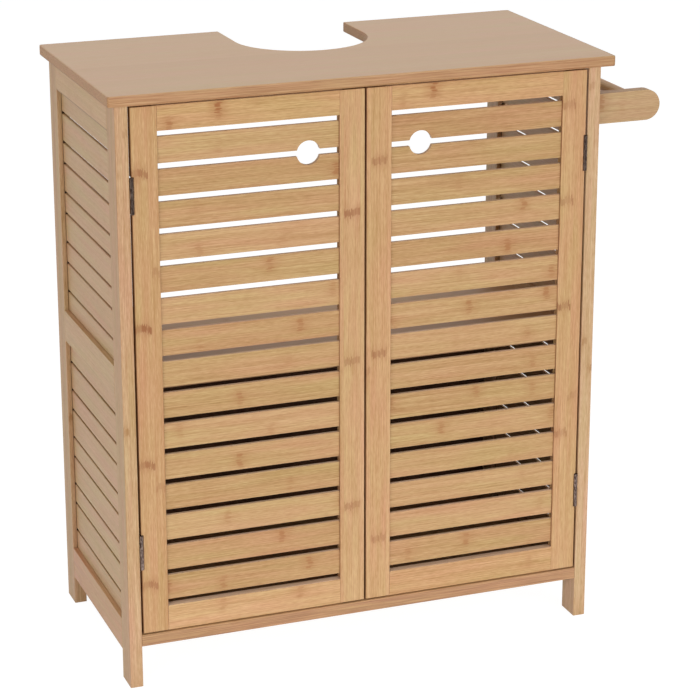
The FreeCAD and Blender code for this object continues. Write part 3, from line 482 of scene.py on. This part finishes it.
def screwGrid(size):
    form = screwForm
    angle = np.linspace(0, 2 * np.pi, form["around"], endpoint=False)
    headAcross = np.linspace(0.0, 1.0, form["headRings"])
    headRadius = size["headRadius"] * headAcross
    domed = form["rimLow"] + (1 - form["rimLow"]) * np.sqrt(1 - form["dome"] * headAcross ** 2)
    headLevel = size["headHeight"] * domed
    shankDown = np.linspace(0.0, 1.0, size["rings"])
    taper = np.clip((1 - shankDown) / form["point"], 0, 1)
    shankLevel = -size["length"] * shankDown
    rimRadius = np.array(form["underside"]) * size["headRadius"]
    rimLevel = np.array(form["undersideMm"])
    radius = np.concatenate([headRadius, rimRadius, size["core"] * taper])[:, None] + 0 * angle[None, :]
    level = np.concatenate([headLevel, rimLevel, shankLevel])[:, None] + 0 * angle[None, :]
    # thread: a triangle wave that climbs one pitch each turn, faded out at the neck and the point
    turns = shankLevel[:, None] / size["pitch"] - angle[None, :] / (2 * np.pi)
    ridge = 1 - 2 * np.abs(turns - np.floor(turns) - 0.5)
    fade = np.clip(shankDown / form["neck"], 0, 1) * taper
    radius[-size["rings"]:] += size["thread"] * ridge * fade[:, None]
    # recess: depth falls off outside the two arms of the cross and towards their ends
    head = slice(0, form["headRings"])
    x, y = radius[head] * np.cos(angle), radius[head] * np.sin(angle)
    nearArm = np.minimum(np.abs(x), np.abs(y)) / (form["armWide"] * size["headRadius"])
    nearEnd = np.hypot(x, y) / (form["crossWide"] * size["headRadius"])
    sunk = np.clip(form["armFade"] - nearArm, 0, 1) * np.clip(form["crossFade"] - nearEnd, 0, 1)
    level[head] -= form["recess"] * size["headHeight"] * sunk
    return np.stack([level, radius * np.cos(angle), radius * np.sin(angle)], axis=-1)


def screwPiece(name, node, body, size, inwards, material):
    low, high = [np.array(corner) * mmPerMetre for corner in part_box(node)]
    grid = screwGrid(size)
    rings, around = grid.shape[:2]
    # the grid's first axis runs out of the head; the seat is the head's underside on the plate
    grid[..., 0] *= -inwards
    seat = low[0] + size["headHeight"] if inwards > 0 else high[0] - size["headHeight"]
    ys = np.array([low[1] + size["headRadius"], high[1] - size["headRadius"]])[:size["rows"]]
    zs = np.array([low[2] + size["headRadius"], high[2] - size["headRadius"]])
    zs = np.concatenate([zs, zs + [size["spacing"], -size["spacing"]]]) if size["rows"] == 1 else zs
    seats = np.array([[seat, y, z] for y in ys for z in zs])
    points = (grid[None] + seats[:, None, None, :]).reshape(-1, 3) / mmPerMetre
    ring, turn = np.meshgrid(np.arange(rings - 1), np.arange(around), indexing="ij")
    corner = np.stack([ring * around + turn, ring * around + (turn + 1) % around,
                       (ring + 1) * around + (turn + 1) % around, (ring + 1) * around + turn], axis=-1)
    faces = corner.reshape(-1, 4)[:, ::int(inwards)]
    faces = (faces[None] + (np.arange(len(seats)) * rings * around)[:, None, None]).reshape(-1, 4)
    mesh = bpy.data.meshes.new(name)
    mesh.from_pydata(points.tolist(), [], faces.tolist())
    mesh.polygons.foreach_set("use_smooth", np.ones(len(faces), bool))
    mesh.materials.append(material)
    piece = bpy.data.objects.new(name, mesh)
    bpy.context.scene.collection.objects.link(piece)
    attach(piece, body)
    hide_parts(node)


hingeScrew = {"headRadius": 2.2, "headHeight": 0.8, "length": 10.0, "core": 0.95, "thread": 0.25,
              "pitch": 1.1, "rings": 56, "rows": 1, "spacing": 24.0}
armScrew = {"headRadius": 4.0, "headHeight": 2.5, "length": 40.0, "core": 1.55, "thread": 0.45,
            "pitch": 2.0, "rings": 120, "rows": 2, "spacing": 0.0}
screwPiece("leftPostHingeScrews", "left_post_hinge_screws", "carcass", hingeScrew, -1, steel)
screwPiece("rightPostHingeScrews", "right_post_hinge_screws", "carcass", hingeScrew, 1, steel)
screwPiece("leftDoorHingeScrews", "left_door_hinge_screws", "left_door", hingeScrew, 1, steel)
screwPiece("rightDoorHingeScrews", "right_door_hinge_screws", "right_door", hingeScrew, -1, steel)
screwPiece("towelArmScrews", "towel_arm_screws", "carcass", armScrew, 1, steel)
print("screws turned")


def sightRay(tree):
    # the light path, and 1 where the lens, gloss or glass looks, 0 for light that bounces off matt things
    path = addNode(tree, "ShaderNodeLightPath")
    sight = mathNode(tree, "MAXIMUM", path.outputs["Is Camera Ray"], path.outputs["Is Glossy Ray"])
    return path, mathNode(tree, "MAXIMUM", sight, path.outputs["Is Transmission Ray"])


# Pale studio floor: white to the lens with the cabinet's shadow kept faint. For the light that bounces it is
# a sheet of matt white paper whose front edge lies a metre or so before the cabinet, with a greyer floor
# beyond. Lengths are in metres.
floorLook = {"half": 20.0, "sink": 0.0002, "bounce": 0.88, "shadowShare": 0.2, "glow": 0.94,
             "paperFrom": -1.2, "paperTo": -0.4, "mattBeyond": 0.55, "glossBeyond": 0.1}
mesh = bpy.data.meshes.new("studioFloor")
corners = np.array([[-1, -1, 0], [1, -1, 0], [1, 1, 0], [-1, 1, 0]]) * floorLook["half"]
corners = corners - [0, 0, floorLook["sink"]]
mesh.from_pydata(corners.tolist(), [], [[0, 1, 2, 3]])
floor = bpy.data.objects.new("studioFloor", mesh)
bpy.context.scene.collection.objects.link(floor)
material, tree = newMaterial("mattWhiteStudioFloor")
path, sight = sightRay(tree)
place = addNode(tree, "ShaderNodeTexCoord")
where = addNode(tree, "ShaderNodeSeparateXYZ", {0: place.outputs["Object"]})
paper = mapRange(tree, where.outputs["Y"], floorLook["paperFrom"], floorLook["paperTo"], smooth=True)
bounce = mapRange(tree, paper, 0.0, 1.0, floorLook["bounce"] * floorLook["mattBeyond"], floorLook["bounce"])
shade = mapRange(tree, sight, 0.0, 1.0, bounce, floorLook["shadowShare"])
seen = mathNode(tree, "MAXIMUM", path.outputs["Is Camera Ray"], paper)
seen = mathNode(tree, "MAXIMUM", seen, floorLook["glossBeyond"])
shine = mathNode(tree, "MULTIPLY", mathNode(tree, "MULTIPLY", sight, floorLook["glow"]), seen)
matt = addNode(tree, "ShaderNodeBsdfDiffuse", {"Color": shade})
glow = addNode(tree, "ShaderNodeEmission", {"Strength": shine})
both = addNode(tree, "ShaderNodeAddShader", {0: matt, 1: glow})
addNode(tree, "ShaderNodeOutputMaterial", {"Surface": both})
mesh.materials.append(material)

# World: even ambient light, plain white where the lens, metal or gloss looks at it.
ambientLevel = 0.3
world = bpy.data.worlds.new("studioWhite")
world.use_nodes = True
world.node_tree.nodes.clear()
tree = world.node_tree
path, sight = sightRay(tree)
level = mapRange(tree, sight, 0.0, 1.0, ambientLevel, 1.0)
sky = addNode(tree, "ShaderNodeBackground", {"Color": linearColour("FFFFFF"), "Strength": level})
addNode(tree, "ShaderNodeOutputWorld", {"Surface": sky})
bpy.context.scene.world = world

# Softboxes: a broad one in front, one front left, one overhead, and a cool white card on the floor before
# the doors. Places and sizes are in metres, power in watts.
lamps = {
    "frontSoftbox": {"at": (0.8, -3.0, 1.1), "towards": (-0.05, 0.0, 0.4), "size": (2.4, 1.0), "power": 53.8,
                     "tint": "FFFFFF"},
    "leftFill": {"at": (-2.1, -1.6, 1.05), "towards": (-0.3, 0.0, 0.45), "size": (1.6, 1.0), "power": 22.0,
                 "tint": "FFFFFF"},
    "floorCard": {"at": (0.0, -0.31, 0.004), "towards": (0.0, -0.3, 1.0), "size": (1.0, 0.3), "power": 0.38,
                  "tint": "D4DCFF"},
    "overheadSoftbox": {"at": (-0.1, 0.2, 2.8), "towards": (-0.03, 0.0, 0.5), "size": (2.0, 1.6),
                        "power": 16.7, "tint": "FFFFFF"},
}
for name, own in lamps.items():
    lamp = bpy.data.lights.new(name, "AREA")
    lamp.shape = "RECTANGLE"
    lamp.size, lamp.size_y = own["size"]
    lamp.energy = own["power"]
    lamp.color = linearColour(own["tint"])[:3]
    softbox = bpy.data.objects.new(name, lamp)
    softbox.location = own["at"]
    softbox.rotation_euler = (Vector(own["towards"]) - Vector(own["at"])).to_track_quat("-Z", "Y").to_euler()
    softbox.visible_camera = False
    bpy.context.scene.collection.objects.link(softbox)
print("floor, world and lamps set")

# Camera found from the photograph's corners; sizes in mm, angles in radians, image points in pixels.
photoCamera = {"stand": (-999.67, -2624.48, 1275.8), "yaw": 0.3511, "pitch": -0.3057, "roll": -0.0036,
               "focal": 2459.12, "axisAt": (322.46, 303.2), "frame": 700, "film": 36.0, "clipEnd": 100.0}
yaw, pitch, roll = [photoCamera[key] for key in ("yaw", "pitch", "roll")]
ahead = Vector((math.sin(yaw) * math.cos(pitch), math.cos(yaw) * math.cos(pitch), math.sin(pitch)))
level = Vector((math.cos(yaw), -math.sin(yaw), 0))
upright = level.cross(ahead)
right = math.cos(roll) * level + math.sin(roll) * upright
up = math.cos(roll) * upright - math.sin(roll) * level
lens = bpy.data.cameras.new("photoCamera")
lens.sensor_fit = "HORIZONTAL"
lens.sensor_width = photoCamera["film"]
lens.lens = photoCamera["focal"] / photoCamera["frame"] * photoCamera["film"]
lens.shift_x = (photoCamera["frame"] / 2 - photoCamera["axisAt"][0]) / photoCamera["frame"]
lens.shift_y = (photoCamera["axisAt"][1] - photoCamera["frame"] / 2) / photoCamera["frame"]
lens.clip_end = photoCamera["clipEnd"]
camera = bpy.data.objects.new("photoCamera", lens)
turn = Matrix((right, up, -ahead)).transposed().to_4x4()
camera.matrix_world = Matrix.Translation(Vector(photoCamera["stand"]) / mmPerMetre) @ turn
bpy.context.scene.collection.objects.link(camera)
bpy.context.scene.camera = camera
bpy.context.scene.view_settings.view_transform = "Standard"
print("camera set")
